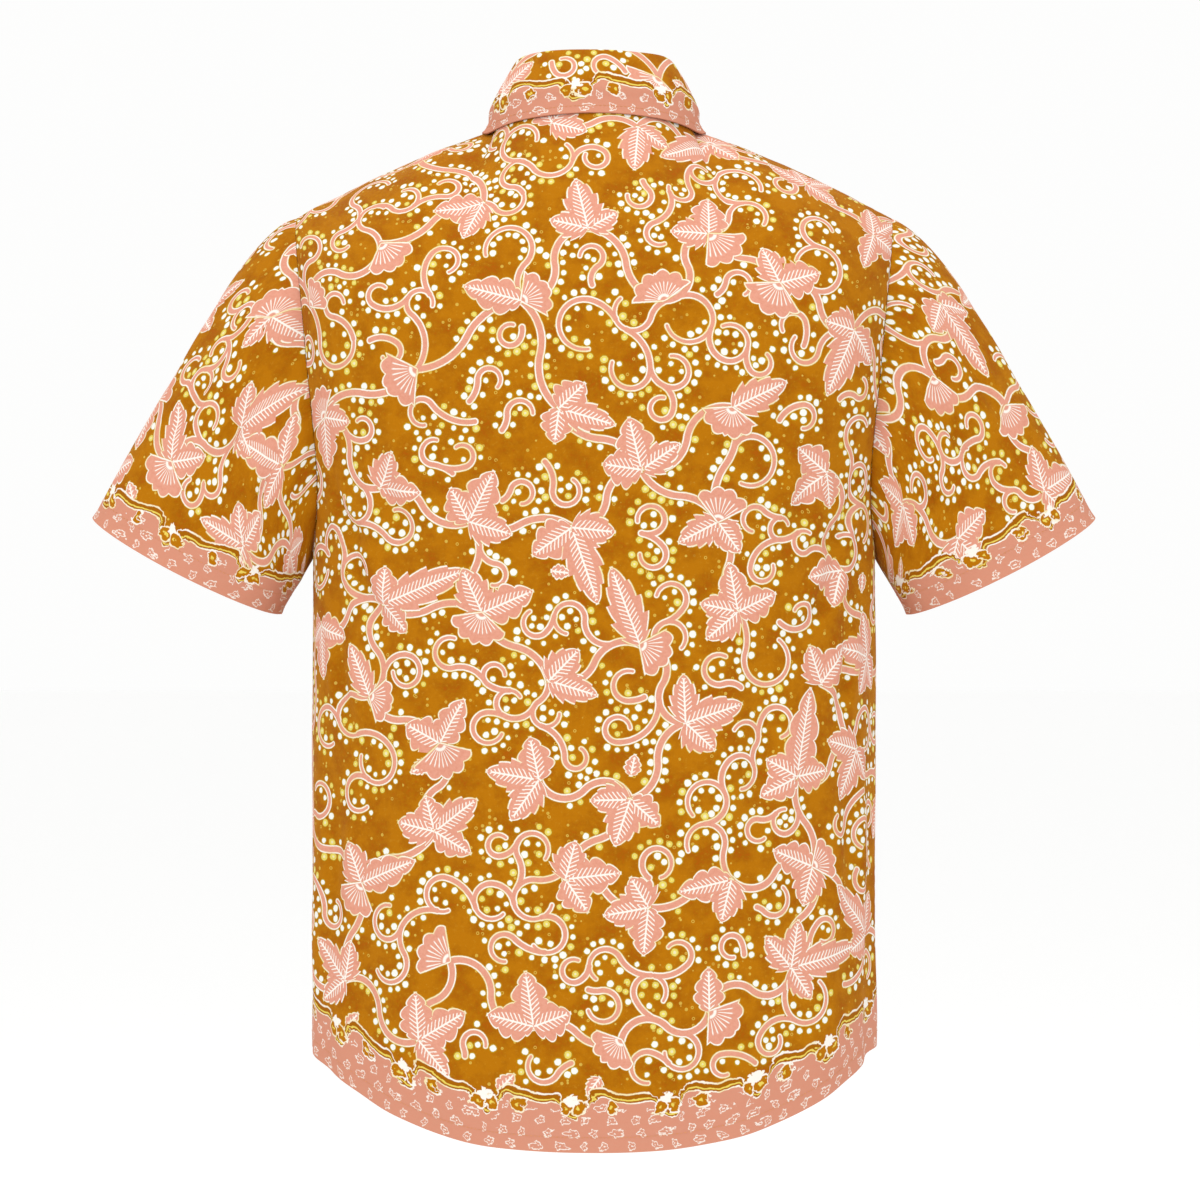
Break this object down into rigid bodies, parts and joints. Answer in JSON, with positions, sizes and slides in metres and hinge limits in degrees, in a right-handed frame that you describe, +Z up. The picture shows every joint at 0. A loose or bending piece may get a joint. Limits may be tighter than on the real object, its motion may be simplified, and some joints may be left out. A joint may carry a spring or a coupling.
{
  "type": "batik shirt",
  "caption": "Short-sleeved collared shirt in wax-resist printed cotton, filled out as worn, hollow and open at neck, cuffs and curved hem.",
  "frame": {"origin": "middle of the neck opening, at the level of the collar seam, where the shirt is held by its wearer", "axes": "+Z up, the front faces -Y and the back +Y, +X is the wearer's left"},
  "size_m": [0.7586, 0.2655, 0.8061],
  "materials": {
    "batik_cloth": "matte wax-resist cotton, ochre ground with pink, cream and yellow pattern",
    "button": "satin"
  },
  "bodies": {
    "root": {"back": "batik_cloth", "front_left": "batik_cloth", "front_right": "batik_cloth", "placket_band": "batik_cloth", "sleeve_left": "batik_cloth", "sleeve_right": "batik_cloth", "collar_stand": "batik_cloth", "collar_fall": "batik_cloth", "button_1": "button", "button_2": "button", "button_3": "button", "button_4": "button", "button_5": "button", "button_6": "button", "button_7": "button"}
  },
  "joints": []
}
